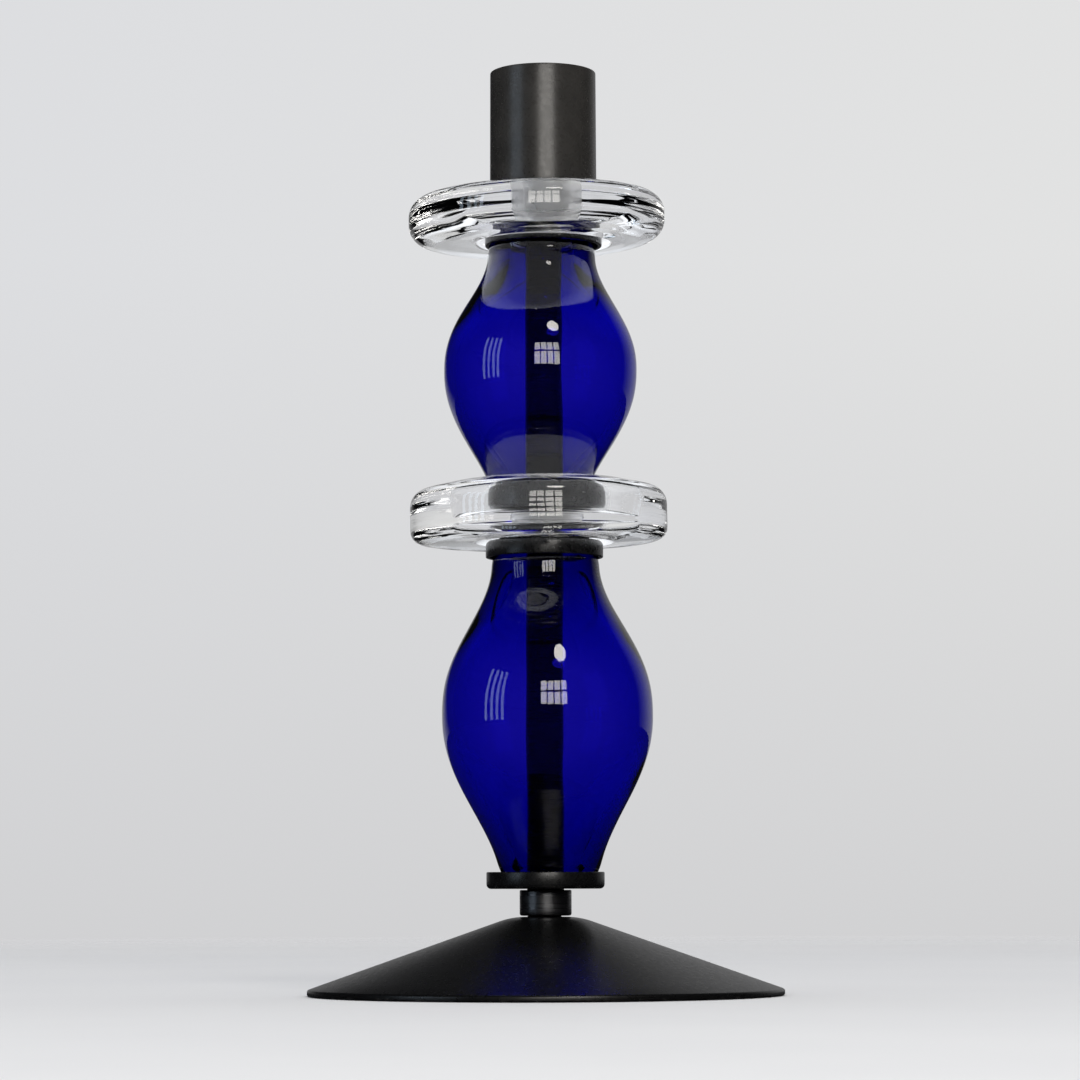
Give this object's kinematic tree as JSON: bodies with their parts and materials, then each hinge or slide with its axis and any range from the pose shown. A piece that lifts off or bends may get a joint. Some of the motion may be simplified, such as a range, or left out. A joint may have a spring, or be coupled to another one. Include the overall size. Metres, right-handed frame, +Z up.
{
  "type": "glass candlestick",
  "caption": "Candlestick of blue blown-glass bulbs and clear glass discs stacked on a rod over a conical black foot, with a tubular candle cup on top.",
  "frame": {"origin": "centre of the foot's standing ring, on the rod's axis, at the surface it stands on", "axes": "+Z up along the rod; +X to the right and +Y to the back of the piece as it is usually seen, though it is round and has no front"},
  "size_m": [0.1248, 0.1248, 0.2444],
  "materials": {
    "satin_black_paint": "satin black stove enamel over steel, faintly mottled, worn thin on sharp edges",
    "gunmetal_steel": "dark burnished steel with turning marks",
    "zinc_steel": "dull zinc-plated steel",
    "cobalt_glass": "deep cobalt blown glass, fire polished, with faint streaks",
    "clear_glass": "thick clear cast glass, fire polished, with flow lines and small seeds; the drilled hole is ground matt",
    "black_rubber": "matt black rubber"
  },
  "bodies": {
    "stand": {"conical_foot": "satin_black_paint", "foot_washer": "zinc_steel", "foot_spring_washer": "zinc_steel", "foot_nut": "zinc_steel", "tie_rod": "gunmetal_steel", "stem_sleeve": "gunmetal_steel", "large_bulb_lower_cap": "satin_black_paint", "large_bulb_lower_gasket": "black_rubber", "large_bulb_upper_gasket": "black_rubber", "large_bulb_upper_cap": "satin_black_paint", "lower_disc_lower_pad": "black_rubber", "lower_disc_upper_pad": "black_rubber", "small_bulb_lower_cap": "satin_black_paint", "small_bulb_lower_gasket": "black_rubber", "small_bulb_upper_gasket": "black_rubber", "small_bulb_upper_cap": "satin_black_paint", "upper_disc_lower_pad": "black_rubber"},
    "large_bulb": {"large_glass_bulb": "cobalt_glass"},
    "lower_disc": {"lower_glass_disc": "clear_glass"},
    "small_bulb": {"small_glass_bulb": "cobalt_glass"},
    "upper_disc": {"upper_glass_disc": "clear_glass"},
    "cup_lift": {"cup_slip_washer": "black_rubber"},
    "cup": {"candle_cup": "satin_black_paint"}
  },
  "joints": [
    {"name": "large_bulb_turn", "type": "hinge", "parent": "stand", "child": "large_bulb", "pos_m": [0, 0, 0.0733], "axis": [0, 0, 1], "continuous": true},
    {"name": "lower_disc_turn", "type": "hinge", "parent": "stand", "child": "lower_disc", "pos_m": [0, 0, 0.1258], "axis": [0, 0, 1], "continuous": true},
    {"name": "small_bulb_turn", "type": "hinge", "parent": "stand", "child": "small_bulb", "pos_m": [0, 0, 0.1635], "axis": [0, 0, 1], "continuous": true},
    {"name": "upper_disc_turn", "type": "hinge", "parent": "stand", "child": "upper_disc", "pos_m": [0, 0, 0.2064], "axis": [0, 0, 1], "continuous": true},
    {"name": "cup_rise", "type": "slide", "parent": "stand", "child": "cup_lift", "axis": [0, 0, 1], "range_m": [0, 0.0051]},
    {"name": "cup_unscrew", "type": "hinge", "parent": "cup_lift", "child": "cup", "pos_m": [0, 0, 0.2111], "axis": [0, 0, 1], "range_deg": [0, 1440]}
  ],
  "couplings": [
    {"joint": "cup_rise", "follows": "cup_unscrew", "m_per_rad": 0.00019894}
  ]
}
